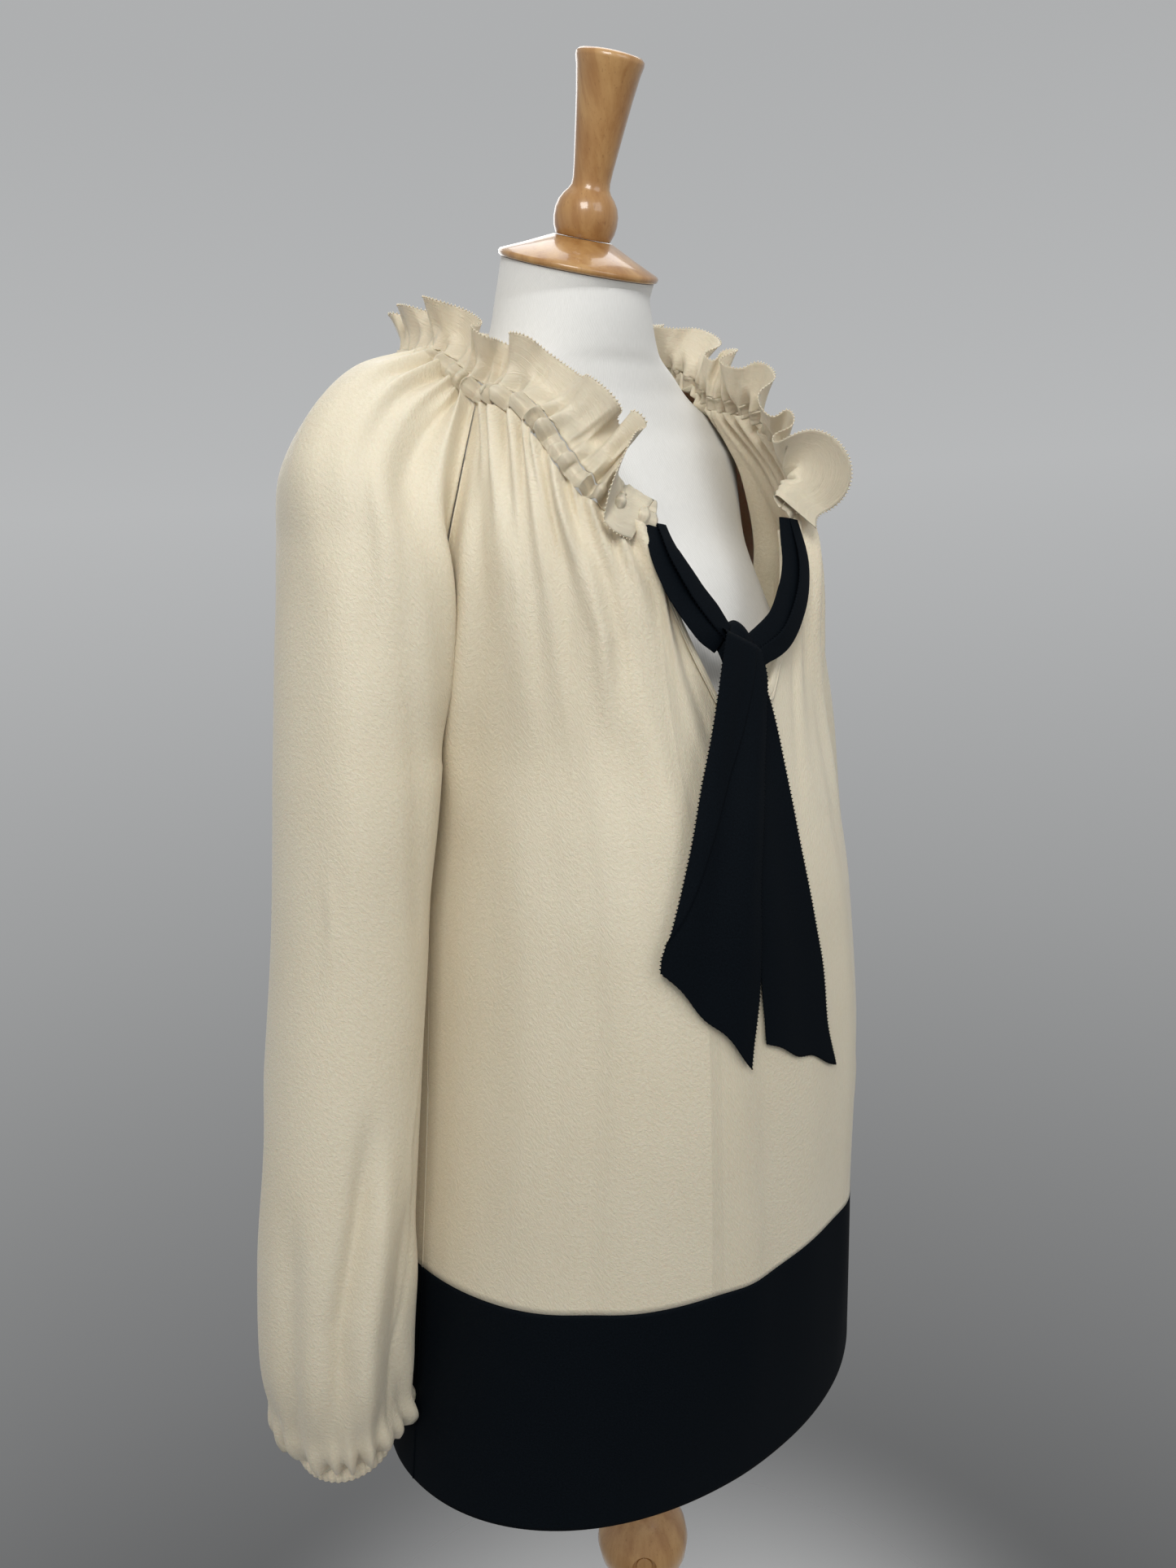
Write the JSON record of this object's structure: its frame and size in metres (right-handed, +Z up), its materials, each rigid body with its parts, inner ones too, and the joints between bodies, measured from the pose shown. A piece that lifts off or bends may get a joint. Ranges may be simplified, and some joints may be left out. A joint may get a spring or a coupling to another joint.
{
  "type": "ruffle-neck blouse on a limbless dress form",
  "caption": "Long-sleeved tunic blouse with a gathered ruffle neck, a neck tie and a contrast hem band, worn by a limbless dress form on a turned stand.",
  "frame": {"origin": "centre of the stand base's underside, on the surface it stands on", "axes": "+Z up along the pole; the blouse's front faces -Y; the wearer's right is -X"},
  "size_m": [0.5912, 0.3759, 1.5536],
  "materials": {
    "cream_crepe": "cream silk crepe with a soft satin sheen",
    "black_crepe": "black crepe, matt",
    "form_cover": "off-white fine-rib jersey",
    "beech_wood": "honey-coloured gloss varnish"
  },
  "bodies": {
    "root": {"front": "cream_crepe", "back": "cream_crepe", "sleeve_right": "cream_crepe", "sleeve_left": "cream_crepe", "cuff_right": "cream_crepe", "cuff_left": "cream_crepe", "neck_casing": "cream_crepe", "neck_ruffle": "cream_crepe", "slit_binding": "cream_crepe", "band_front": "black_crepe", "band_back": "black_crepe", "tie_strap_right": "black_crepe", "tie_strap_left": "black_crepe", "tie_knot": "black_crepe", "tie_tail_front": "black_crepe", "tie_tail_back": "black_crepe", "torso": "form_cover", "neck_cap": "beech_wood", "finial": "beech_wood", "pole_upper": "beech_wood", "pole_ball": "beech_wood", "pole_lower": "beech_wood", "base": "beech_wood"}
  },
  "joints": []
}
